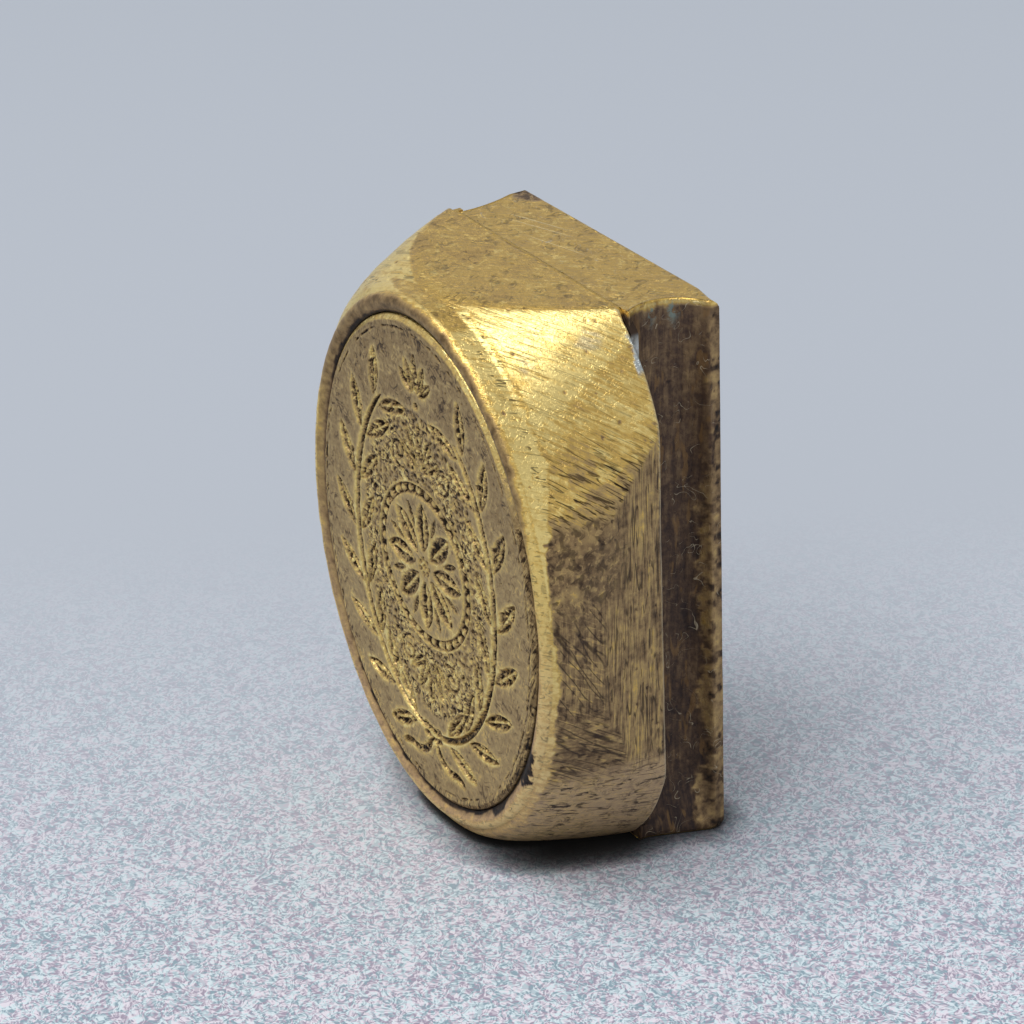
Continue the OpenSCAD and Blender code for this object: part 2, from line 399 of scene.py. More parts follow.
def rim_zones(p, where, flank, wander, ragged, fine):
    """Shares of the rim, of the slope inside it and of the gap round the die, and how far up the head and
    over to its far side each point is. The gap is painted near black as painted shade, and dirt at two
    spots widens it."""
    z = p[..., 2]
    high = ease(z + 0.5 * ragged, *CROWN)
    far = ease(-p[..., 0], 5.5, 9)
    rim = ease(where, 0.35, 0.6) * (1 - flank) * fade(where, 1, 1.02)
    inner_to = 0.64 + 0.14 * high
    inner_where = where + 0.025 * ragged + 0.03 * wander + 0.015 * fine
    inner = ease(where, 0.32, 0.4)
    inner *= fade(inner_where, inner_to, inner_to + 0.1 + 0.08 * high)
    dirt = patch(p, (7.6, FRONT_Y + 0.2, 7.1), (1.3, 2, 2.0))
    dirt += 0.6 * patch(p, (5.2, FRONT_Y + 0.2, 3.7), (1.2, 2, 1.2))
    reach_in = 0.36 + 0.02 * high + 0.5 * np.clip(dirt, 0, 1) + 0.06 * ragged
    far_middle = ease(-p[..., 0], 5, 7.5) * ease(z, 4, 8) * fade(z, 17, 20)
    # Painted shade in the gap round the die, lighter on its far side
    gap = fade(where, reach_in, reach_in + 0.05) * (1 - 0.75 * far_middle)
    return rim, inner, gap, high, far


def rear_coats(p, where, facet, ends, ragged):
    """Grey rubs on the facet, the pale rear edge, partly worn metal and partly a painted edge highlight,
    and the smear of solder at its near upper corner.
    """
    z = p[..., 2]
    grey = 0.4 * patch(p, (6.0, -0.2, 24.1), (0.6, 0.7, 0.9))
    grey += 0.3 * patch(p, (5.2, -2.9, 23.4), (0.6, 0.5, 0.5))
    grey *= facet * ease(strokes(p, FACET_STROKE, 0.14, 0.8, 63), -0.5, 0.4)
    pale = ease(where, 1.975, 1.99) * fade(where, 2.01, 2.3) * (1 - ends)
    smear_end = ease(np.abs(z - 23.5 + 0.15 * ragged), 0.55, 0.8)
    smear_from = 1.945 + 0.02 * ease(z, 23.2, 24) + 0.012 * ragged
    smear = ease(where, smear_from, smear_from + 0.008) * (1 - smear_end) * (p[..., 0] > 0)
    smear *= fade(where, 2.3, 2.6)
    return grey, pale, smear


def head_surface(p, n, where):
    """Hand marks, dents and patina over the head, with a painted highlight on the rim and painted shade
    inside it, round the die and on the lower facet; `where` runs from 0 in the seat, over the bezel,
    1 at the rim's outer edge and 2 at the rear, to 3 on the rear face."""
    x, y, z = p[..., 0], p[..., 1], p[..., 2]
    wander = fractal(p / 1.7, 3, 21)
    ragged = fractal(p / 0.7, 3, 23)
    fine = fractal(p / 0.25, 3, 25)
    zones = head_zones(p, n, where, ragged, fine)
    flank, top, sole, land, filed, facet, low, hatch, mottle, side = zones
    rim, inner, gap, high, far = rim_zones(p, where, flank, wander, ragged, fine)
    grey, pale, smear = rear_coats(p, where, facet, top + sole, ragged)
    steep = ease(z, 8.2, 10.4)
    grimy = facet * fade(z + 0.5 * wander, 18.8, 21.8)
    chatter = land * ease(where, 1.04, 1.10)
    pits = pitted(p, 33) * flank

    height = 0.011 * facet * strokes(p, FACET_STROKE, 0.3, 2.6, 16)
    height += 0.012 * chatter * strokes(p, LAND_STROKE, 0.24, 1.2, 18)
    height += 0.014 * hatch * blend(steep, strokes(p, SLANT_STROKE, 0.26, 1.8, 17),
                                    strokes(p, STEEP_STROKE, 0.26, 1.8, 19))
    height += 0.008 * side * strokes(p, SIDE_STROKE, 0.22, 2.5, 20)
    height += 0.012 * filed * wander + 0.006 * land * wander
    height += 0.012 * mottle * fine + 0.014 * rim * ragged
    height -= 0.005 * (top + sole) * np.abs(fine) + 0.03 * pits
    height *= ease(where, 0.32, 0.6) * fade(where, 2.0, 2.4)
    height += 0.02 * smear * (1 + 0.5 * fine) * fade(where, 1.97, 2.0)

    # Painted shade: the lower sub-facet is painted darker than the facet above it, in place of its own
    # slant
    sub_facet = ease(-0.55 * z + 0.2 * x + 0.25 * y + 0.12 * ragged, -11.45, -11.25)
    facet_shine = blend(sub_facet, 1.0, 0.84) - 0.26 * grimy * ease(ragged, -0.3, 0.3) + 0.06 * wander
    land_shine = 0.74 + 0.16 * ease(z, 3.5, 6.5) + 0.1 * ease(z, 10, 17) + 0.06 * ragged
    shine = np.full(z.shape, 0.3)
    for share, value in (
        (side, 0.49 + 0.1 * wander + 0.08 * fine),
        (hatch, 0.39 + 0.12 * wander + 0.12 * fine),
        (mottle, 0.41 + 0.17 * fractal(p / 0.35, 3, 35) + 0.14 * wander),
        (low, 0.72 - 0.16 * ease(y, -3.0, 0.5) + 0.08 * wander + 0.06 * fine),
        (facet, facet_shine),
        (land, land_shine),
        (np.clip(top + sole, 0, 1), 0.74 + 0.05 * wander),
        # Painted highlight: the rim is painted nearly the brightest brass
        (rim, 0.95),
        # Painted shade: the slope inside the rim is painted darker towards the top of the head
        (inner, blend(high, 0.52, 0.36 + 0.12 * far) + 0.14 * fine + 0.08 * ragged),
        # Painted shade: the gap round the die is painted near black
        (gap, 0.02),
        (ease(where, 2.3, 2.9), 0.35),
    ):
        shine = blend(share, shine, value)
    shine *= 1 - 0.6 * pits
    cloudy = fractal(p / 0.9, 3, 65) + 0.6 * patch(p, (-3.2, -1.5, STAMP_H), (2.0, 1.5, 1))
    shine -= 0.25 * top * (ease(cloudy, 0.2, 0.9) + patch(p, (-3.4, -1.3, STAMP_H), (0.5, 0.3, 1)))
    dust = np.clip(low + land * fade(z, 5, 14) + rim * (1 - 0.5 * high), 0, 1) * (1 - gap)
    dust *= (1 - 0.6 * inner * high) * (1 - 0.5 * far)
    marks = {"facet": facet, "land": land, "low": low, "side": side, "mottle": mottle, "grimy": grimy,
             "chatter": chatter, "top": top + sole, "steep": hatch * steep, "slant": hatch * (1 - steep)}
    coats = {"shine": shine, "grey": grey, "pale": pale, "smear": smear}
    coats = {key: np.clip(value, 0, 1) for key, value in coats.items()}
    return {"height": height, "dust": dust, "rim": rim * (1 - inner) * (1 - gap), **marks, **coats}


class Paint:
    """A node material being put together; each method returns an output socket."""

    def __init__(self, name):
        self.material = bpy.data.materials.new(name)
        self.material.use_nodes = True
        self.tree = self.material.node_tree
        self.shader = self.tree.nodes["Principled BSDF"]
        self.place = self.node("ShaderNodeTexCoord").outputs["Object"]

    def node(self, kind, inputs=None, **settings):
        made = self.tree.nodes.new(kind)
        for key, value in settings.items():
            setattr(made, key, value)
        for key, value in (inputs or {}).items():
            self.feed(made.inputs[key], value)
        return made

    def feed(self, socket, value):
        if isinstance(value, bpy.types.NodeSocket):
            self.tree.links.new(value, socket)
        else:
            socket.default_value = value

    def values(self, *names):
        """The named numbers that the mesh carries at its points."""
        return [self.node("ShaderNodeAttribute", attribute_name=name).outputs["Fac"] for name in names]

    def math(self, operation, a, b=0.0, clamp=False):
        return self.node("ShaderNodeMath", {0: a, 1: b}, operation=operation, use_clamp=clamp).outputs[0]

    def times(self, a, b):
        return self.math("MULTIPLY", a, b)

    def away(self, value, middle=0.5):
        """How far a value is from its middle."""
        return self.math("ABSOLUTE", self.math("SUBTRACT", value, middle))

    def dot(self, place, direction):
        made = self.node("ShaderNodeVectorMath", {0: place, 1: direction}, operation="DOT_PRODUCT")
        return made.outputs["Value"]

    def sum(self, *parts):
        """Sum of (share, pattern) pairs."""
        total = 0.0
        for share, pattern in parts:
            total = self.math("ADD", self.times(pattern, share), total)
        return total

    def add(self, *parts):
        """Sum of (share, pattern) pairs, each pattern first centred on 0."""
        return self.sum(*((share, self.math("SUBTRACT", pattern, 0.5)) for share, pattern in parts))

    def spread(self, value, low, high, to_low=0.0, to_high=1.0):
        """Value from low to high, stretched to a new range and held within it."""
        made = self.node("ShaderNodeMapRange", {0: value, 1: low, 2: high, 3: to_low, 4: to_high},
                         interpolation_type="SMOOTHSTEP")
        return made.outputs[0]

    def ramp(self, value, stops):
        """Colour of a value between the given (value, colour) stops."""
        made = self.node("ShaderNodeValToRGB", {"Fac": value})
        elements = made.color_ramp.elements
        elements.remove(elements[1])
        for k, (at, colour) in enumerate(stops):
            element = elements[0] if k == 0 else elements.new(at)
            element.position = at
            element.color = (*colour, 1)
        return made.outputs["Color"]

    def mix(self, share, a, b):
        made = self.node("ShaderNodeMix", data_type="RGBA")
        self.feed(made.inputs[0], share)
        for socket, colour in ((made.inputs[6], a), (made.inputs[7], b)):
            self.feed(socket, colour if isinstance(colour, bpy.types.NodeSocket) else (*colour, 1))
        return made.outputs[2]

    def over(self, colour, *coats):
        """Colour under (share, pattern, colour) coats, laid on in turn."""
        for share, pattern, coat in coats:
            colour = self.mix(self.times(pattern, share), colour, coat)
        return colour

    def noise(self, size, detail=3.0, seed=0.0, curl=0.0, turn=None, stretch=(1, 1, 1), rough=0.55):
        """Noise with features of about that size in millimetres; curl bends them into hooks."""
        place = self.place
        if turn is not None:
            place = self.node("ShaderNodeVectorRotate", {"Vector": place, "Rotation": turn},
                              rotation_type="EULER_XYZ", invert=True).outputs[0]
        scale = tuple(1 / (size * MM * k) for k in stretch)
        place = self.node("ShaderNodeMapping", {"Vector": place, "Location": (seed,) * 3, "Scale": scale})
        made = self.node("ShaderNodeTexNoise", {"Vector": place.outputs[0], "Scale": 1.0, "Detail": detail,
                                                "Roughness": rough, "Distortion": curl})
        return made.outputs["Fac"]

    def strokes(self, direction, pitch, run, seed=0.0, detail=3.0, curl=0.0):
        along, facing = (Vector(v).normalized() for v in direction)
        across = facing.cross(along).normalized()
        facing = along.cross(across)
        turn = tuple(Matrix((along, across, facing)).transposed().to_euler())
        return self.noise(pitch, detail, seed, curl, turn, (run / pitch, 1, run / pitch), 0.6)

    def lines(self, direction, pitch, run, width, seed, kept=0.5, curl=0.1):
        """Thin lines along a direction, 1 in the middle of each; a low kept leaves short pieces."""
        off = self.away(self.strokes(direction, pitch, run, seed, 0.0, curl))
        gate = self.strokes(direction, pitch * 2, run * 0.35, seed + 20.0, 1.0)
        return self.times(self.spread(off, 0, width, 1, 0),
                          self.spread(gate, 0.62 - kept * 0.3, 0.68 - kept * 0.3))

    def scratch(self, a, b, width):
        """Straight scratch between two points of the upper end, 1 in its middle."""
        a, b = Vector((*a, 0)) * MM, Vector((*b, 0)) * MM
        along, half = (b - a).normalized(), (b - a).length / 2
        from_a = self.node("ShaderNodeVectorMath", {0: self.place, 1: a}, operation="SUBTRACT").outputs[0]
        run, off = self.dot(from_a, along), self.dot(from_a, Vector((-along.y, along.x, 0)))
        line = self.spread(self.away(off, 0.0), 0, width * MM, 1, 0)
        return self.times(line, self.spread(self.away(run, half), half - 1.2 * MM, half, 1, 0))

    def dashes(self, direction, pitch, run, seed, low=0.54, high=0.62):
        """Short tapered strokes along a direction, 1 in the middle of each."""
        return self.spread(self.strokes(direction, pitch, run, seed, 2.0, 0.25), low, high)

    def hooks(self, size, width, seed=0.0, curl=2.5):
        """Thin curled lines, 1 in the middle of each."""
        return self.spread(self.away(self.noise(size, 1.0, seed, curl)), 0, width, 1, 0)

    def curls(self, seed):
        """Small curled marks lying in loose patches, 1 in the middle of each."""
        hooks = self.hooks(0.75, 0.09, seed, 1.6)
        return self.times(hooks, self.spread(self.noise(0.6, 2, seed + 1.0), 0.46, 0.66))

    def height(self, low, high, to_low=0.0, to_high=1.0):
        """Value that changes between two heights above the floor, given in millimetres."""
        level = self.node("ShaderNodeSeparateXYZ", {0: self.place}).outputs["Z"]
        return self.spread(level, low * MM, high * MM, to_low, to_high)

    def covered(self, reach):
        """How much of the sky within a reach in millimetres is covered, from 0 to 1."""
        sky = self.node("ShaderNodeAmbientOcclusion", {"Distance": reach * MM}, samples=8).outputs["AO"]
        return self.math("SUBTRACT", 1.0, self.math("POWER", sky, 4.0))

    def finish(self, colour, roughness, metallic, height=None, depth=0.02):
        self.feed(self.shader.inputs["Base Color"], colour)
        self.feed(self.shader.inputs["Roughness"], roughness)
        self.feed(self.shader.inputs["Metallic"], metallic)
        if height is not None:
            bump = self.node("ShaderNodeBump", {"Height": height, "Strength": 1.0, "Distance": depth * MM})
            self.feed(self.shader.inputs["Normal"], bump.outputs[0])
        return self.material


def linear(r, g, b):
    """Linear colour from screen values of 0 to 255."""
    return tuple((v / 255 / 12.92) if v <= 10 else ((v / 255 + 0.055) / 1.055) ** 2.4 for v in (r, g, b))


def even_stops(*colours):
    """Colour stops at even steps from 0 to 1."""
    return [(k / (len(colours) - 1), linear(*colour)) for k, colour in enumerate(colours)]


# Brass from black, for dirt and painted shade, to bare metal; the seal face is duller than the bare brass
# round it
BRASS = even_stops((34, 27, 24), (94, 73, 52), (152, 125, 88), (190, 160, 108), (224, 186, 102),
                   (252, 225, 146))
DIE_BRASS = even_stops((40, 30, 22), (94, 74, 50), (164, 137, 94), (196, 168, 116), (226, 192, 114),
                       (252, 228, 152))
BROWN = linear(56, 42, 32)
GREY = linear(168, 168, 160)
PALE = linear(205, 190, 160)
GOLD = linear(214, 176, 84)
TAN = linear(214, 176, 136)
DULL = linear(190, 168, 138)
SOLDER_GREY = linear(196, 202, 200)
COVE_BROWN = linear(84, 66, 62)
STREAK_TAN = linear(140, 108, 68)
BARE = linear(244, 224, 168)
VERDIGRIS = linear(120, 146, 142)


def head_paint():
    paint = Paint("head_brass")
    facet, land, low, steep, slant, side = paint.values("facet", "land", "low", "steep", "slant", "side")
    mottle, top, shine, dust, rim = paint.values("mottle", "top", "shine", "dust", "rim")
    grimy, chatter, grey, pale, smear = paint.values("grimy", "chatter", "grey", "pale", "smear")
    speck = paint.noise(0.28, 4, 3.0)
    worm = paint.hooks(0.42, 0.045, 5.0)
    marks = paint.add(
        (facet, paint.strokes(FACET_STROKE, 0.13, 1.7, 1.0)),
        (paint.times(paint.math("ADD", side, steep), 1.7), paint.strokes(SIDE_STROKE, 0.13, 1.6, 3.0)),
        (paint.math("ADD", low, slant, clamp=True), paint.strokes(LOW_STROKE, 0.12, 1.2, 2.0)),
        (paint.math("ADD", land, dust), paint.strokes(LAND_STROKE, 0.12, 0.9, 4.0)),
        (top, paint.strokes(TOP_STROKE, 0.09, 1.6, 6.0)),
        (paint.math("ADD", top, dust), paint.noise(0.2, 3, 51.0, 1.5)),
    )
    facet_share = paint.math("ADD", paint.times(facet, 0.4), grimy, clamp=True)
    lines = paint.sum(
        (facet_share, paint.lines(FACET_STROKE, 0.21, 3.2, 0.05, 31.0, 0.6)),
        (grimy, paint.dashes(FACET_STROKE, 0.16, 1.1, 32.0, 0.55, 0.61)),
        (steep, paint.lines(STEEP_STROKE, 0.25, 2.2, 0.09, 33.0, 0.85, 0.28)),
        (slant, paint.lines(SLANT_STROKE, 0.25, 2.2, 0.09, 34.0, 0.85, 0.28)),
        (side, paint.lines(SIDE_STROKE, 0.18, 2.4, 0.07, 35.0, 0.6)),
        (chatter, paint.lines(LAND_STROKE, 0.16, 1.4, 0.06, 36.0, 0.5)),
        (low, paint.lines(LOW_STROKE, 0.2, 1.6, 0.07, 37.0, 0.6, 0.3)),
        (low, paint.times(paint.curls(55.0), 0.6)),
        (mottle, paint.spread(paint.noise(0.5, 4, 38.0, 0.8), 0.5, 0.6, 0, 0.75)),
        (top, paint.times(paint.curls(39.0), 0.65)),
        (dust, paint.times(paint.curls(47.0), 0.4)),
        (paint.times(rim, 0.6), paint.lines(LAND_STROKE, 0.18, 0.9, 0.09, 52.0, 0.5, 0.8)),
    )
    hatch = paint.math("ADD", steep, slant, clamp=True)
    light = paint.sum(
        (facet, paint.lines(FACET_STROKE, 0.24, 3.0, 0.05, 41.0, 0.5)),
        (hatch, paint.dashes(SLANT_STROKE, 0.15, 1.6, 42.0, 0.55, 0.62)),
        (top, paint.times(paint.curls(43.0), 1.6)),
        (dust, paint.curls(49.0)),
        (rim, paint.dashes(LAND_STROKE, 0.16, 0.8, 53.0, 0.55, 0.6)),
        (mottle, paint.spread(paint.noise(0.3, 3, 48.0, 0.8), 0.54, 0.62)),
    )
    mist = paint.add((0.2, paint.noise(1.6, 4)), (0.4, speck))
    tone = paint.sum((1.0, shine), (1.0, mist), (0.6, marks), (0.18, light), (-0.06, worm))
    dusty = paint.mix(paint.height(8, 17), TAN, GOLD)
    colour = paint.over(
        paint.ramp(tone, BRASS),
        (0.4, top, GOLD),
        (0.42, dust, dusty),
        (0.35, low, DULL),
        (0.8, lines, BROWN),
        (1.0, grey, GREY),
        # Pale rear edge: partly worn metal, partly a painted edge highlight
        (0.5, pale, PALE),
        (1.0, smear, SOLDER_GREY),
    )
    roughness = paint.sum((1.0, paint.spread(shine, 0.1, 0.9, 0.55, 0.33)), (0.1, dust))
    metallic = paint.sum((1.0, paint.spread(shine, 0.2, 0.7, 0.7, 1.0)), (-0.34, dust))
    height = paint.sum((1.0, marks), (-0.3, worm), (0.5, speck), (-0.9, lines))
    return paint.finish(colour, roughness, metallic, height, 0.024)


def lens(along, length, width):
    """Half-width of a pointed leaf at a distance along it."""
    r = (length**2 + width**2) / (4 * width)
    inside = np.clip(r * r - (along - length / 2) ** 2, 0, None)
    return np.clip(np.sqrt(inside) - (r - width / 2), 0, None)


class Engraving:
    """Cuts over a plate: how deep they are, and how roughly their bottoms are worked."""

    def __init__(self, x, z):
        self.x = x
        self.z = z
        self.depth = np.zeros_like(x)
        self.rough = np.zeros_like(x)

    def cut(self, shape, depth, rough):
        self.depth = np.maximum(self.depth, shape * depth)
        self.rough = np.maximum(self.rough, ease(shape, 0.1, 0.5) * rough)

    def leaf(self, root, turn, length, width, depth=CUT, rough=1.0):
        """Two hollowed halves, a raised midrib and slanting veins."""
        dx, dz = self.x - root[0], self.z - root[1]
        along = dx * math.cos(turn) + dz * math.sin(turn)
        across = np.abs(dz * math.cos(turn) - dx * math.sin(turn))
        half = lens(along, length, width)
        hollow = np.clip(1 - (across / np.maximum(half, 1e-4)) ** 3, 0, 1)
        rib = np.exp(-((across / (0.1 * width)) ** 2))
        rib *= ease(along, 0, 0.2) * (along < 0.85 * length)
        veins = 0.5 + 0.5 * np.sin((along - 1.1 * across) * 2 * np.pi / (0.13 * length + 0.02))
        self.cut(hollow * (1 - 0.75 * rib) * (0.72 + 0.28 * veins), depth, rough)

    def line(self, curve, width, depth, rough=0.0):
        """Groove along a curve, thinning to a point at both ends."""
        curve = np.array(curve)
        low, high = curve.min(0) - width, curve.max(0) + width
        near = (self.x > low[0]) & (self.x < high[0]) & (self.z > low[1]) & (self.z < high[1])
        x, z = self.x[near], self.z[near]
        gap, share = np.full(x.shape, 9.0), np.zeros(x.shape)
        for k, (a, b) in enumerate(zip(curve[:-1], curve[1:])):
            step = b - a
            t = np.clip(((x - a[0]) * step[0] + (z - a[1]) * step[1]) / (step @ step + 1e-9), 0, 1)
            here = np.hypot(x - a[0] - t * step[0], z - a[1] - t * step[1])
            share = np.where(here < gap, (k + t) / (len(curve) - 1), share)
            gap = np.minimum(here, gap)
        half = width / 2 * np.sqrt(np.clip(1 - (2 * share - 1) ** 6, 0.02, 1))
        shape = np.zeros_like(self.x)
        shape[near] = np.clip(1 - (gap / half) ** 2, 0, 1)
        self.cut(shape, depth, rough)

    def bead(self, centre, radius, depth):
        """Round punch mark."""
        d = np.hypot(self.x - centre[0], self.z - centre[1]) / radius
        self.cut(np.clip(1 - d**3, 0, 1), depth, 0.6)

    def beaded_ring(self, radius, width, count, depth):
        """Round channel with a row of raised beads standing in it."""
        r, a = np.hypot(self.x, self.z), np.arctan2(self.z, self.x)
        channel = np.clip(1 - ((r - radius) / (width / 2)) ** 4, 0, 1)
        nearest = np.round(a / (2 * np.pi) * count) * 2 * np.pi / count
        d = np.hypot(self.x - radius * np.cos(nearest), self.z - radius * np.sin(nearest)) / (width * 0.42)
        self.cut(channel * (1 - 0.9 * np.sqrt(np.clip(1 - d * d, 0, 1))), depth, 0.3)

    def stipple(self, where, pitch, radius, depth):
        """Small punch marks set close together over a part of the plate."""
        cx, cz = np.floor(self.x / pitch), np.floor(self.z / pitch)
        best = np.full(self.x.shape, 9.0)
        zero = np.zeros(self.x.shape, np.int64)
        for dx in (-1, 0, 1):
            for dz in (-1, 0, 1):
                i, j = (cx + dx).astype(np.int64), (cz + dz).astype(np.int64)
                at_x = (cx + dx + 0.5 + 0.35 * hashed(i, j, zero, 71)) * pitch
                at_z = (cz + dz + 0.5 + 0.35 * hashed(i, j, zero, 72)) * pitch
                best = np.minimum(best, np.hypot(self.x - at_x, self.z - at_z))
        free = fade(self.depth, 0, 0.3 * CUT)
        self.cut(np.clip(1 - (best / radius) ** 2, 0, 1) * where * free, depth, 0.0)


def polar(radius, turn, centre=(0, 0)):
    return centre[0] + radius * math.cos(turn), centre[1] + radius * math.sin(turn)


def mirrored(curve):
    return [(-x, z) for x, z in curve]


def scroll(centre, start, turns, r0, r1, count=26):
    """Spiral that winds from radius r0 to r1 round a centre."""
    return [polar(blend(k / count, r0, r1), start + turns * 2 * math.pi * k / count, centre)
            for k in range(count + 1)]


def bowed(a, b, rise, count=10):
    """Curve from a to b that bows to one side by a rise."""
    a, b = np.array(a), np.array(b)
    out = np.array([b[1] - a[1], a[0] - b[0]]) / np.linalg.norm(b - a)
    shares = [k / count for k in range(count + 1)]
    return [tuple(a + (b - a) * t + out * rise * 4 * t * (1 - t)) for t in shares]


def engrave(x, z):
    """A wreath of two leafy sprays round a rosette in a beaded ring, with a fan above and below it.
    Returns the plate and its rough-cut ground."""
    plate = Engraving(x, z)
    for side in (-1, 1):
        turns = np.linspace(STEM_FROM, STEM_TO, 40)
        stem = [(side * STEM_A * math.sin(t), -STEM_B * math.cos(t)) for t in turns]
        plate.line(stem, STEM_W + 0.08, CUT)
        for k in range(1, LEAF_PAIRS + 1):
            t = k * STEM_TO / LEAF_PAIRS - LEAF_LEAD
            turn = math.atan2(STEM_B * math.sin(t), STEM_A * math.cos(t))
            for tilt in (-LEAF_TILT, LEAF_TILT):
                way = turn + tilt
                root = (side * (STEM_A * math.sin(t) + (LEAF_GAP + STEM_W) * math.cos(way)),
                        -STEM_B * math.cos(t) + (LEAF_GAP + STEM_W) * math.sin(way))
                plate.leaf(root, way if side > 0 else math.pi - way, LEAF_L, LEAF_W)
            middle = t + 0.5 * STEM_TO / LEAF_PAIRS
            if k < LEAF_PAIRS:
                for out in (-0.62, 0.62):
                    berry = side * (STEM_A + out) * math.sin(middle), -(STEM_B + out) * math.cos(middle)
                    plate.bead(berry, 0.17, 0.7 * CUT)
    for k in range(PETALS):
        turn = math.pi / 2 + 2 * math.pi * k / PETALS
        plate.leaf(polar(PETAL_FROM, turn), turn, PETAL_L, PETAL_W, CUT, 0.5)
        between = turn + math.pi / PETALS
        plate.leaf(polar(1.75, between), between, 1.15, 0.34, 0.6 * CUT, 0.2)
    for k in range(7):
        turn = 2 * math.pi * k / 7
        plate.bead(polar(0.36, turn), 0.13, 0.6 * CUT)
    plate.bead((0, 0), 0.15, 0.7 * CUT)
    plate.beaded_ring(BEAD_RING_R, 0.5, 34, 0.8 * CUT)
    for up in (1, -1):
        fan(plate, up)
    for low in (-8.0, -8.5):
        plate.line([(-0.75, low + 0.15), (0, low), (0.75, low + 0.15)], 0.3, 0.7 * CUT)
    for side in (-1, 1):
        tail = bowed((side * 0.2, -8.5), (side * 1.5, -9.55), side * 0.28) + bowed(
            (side * 1.5, -9.55), (side * 2.6, -9.75), side * -0.16)[1:]
        plate.line(tail, 0.42, 0.8 * CUT, 0.8)
    r = np.hypot(x / STEM_A, z / STEM_B)
    from_ring = np.hypot(x, z)
    ground = fade(r, 0.85, 0.9)
    ground *= ease(from_ring, BEAD_RING_R + 0.28, BEAD_RING_R + 0.36)
    ground *= fade(plate.depth, 0, 0.2 * CUT)
    plate.stipple(ground, 0.3, 0.13, 0.05)
    edge = np.hypot(x / (DIE_W / 2), z / (DIE_H / 2))
    broken = ease(fractal(np.stack([x, z, 0 * x], -1) / 0.5, 3, 47), -0.3, 0.6)
    plate.cut(np.clip(1 - ((edge - 0.955) / 0.006) ** 2, 0, 1) * broken, 0.3 * CUT, 0.5)
    return plate, ground


def fan(plate, up):
    """Petals spread over a pair of scrolls, above the ring when up is 1 and below it when -1."""
    for k in range(-2, 3):
        turn = math.pi / 2 + math.radians(27) * k
        root = (0.35 * math.cos(turn), up * (4.3 + 0.35 * math.sin(turn)))
        plate.leaf(root, up * turn, 2.1 - 0.25 * abs(k), 0.62, CUT, 0.8)
    for side in (-1, 1):
        curl = scroll((1.75, up * 4.75), up * math.pi * 1.25, up * 1.3, 0.75, 0.12)
        plate.line(curl if side > 0 else mirrored(curl), 0.2, 0.7 * CUT)
        plate.bead((side * 2.75, up * 4.1), 0.16, 0.6 * CUT)
        plate.bead((side * 2.55, up * 5.6), 0.12, 0.6 * CUT)
    if up > 0:
        for k in range(-2, 3):
            turn = math.pi / 2 + math.radians(24) * k
            plate.leaf(polar(0.4, turn, (0, 7.75)), turn, 1.75 - 0.22 * abs(k), 0.5, 0.9 * CUT, 0.8)
        plate.bead((0, 7.5), 0.17, 0.7 * CUT)


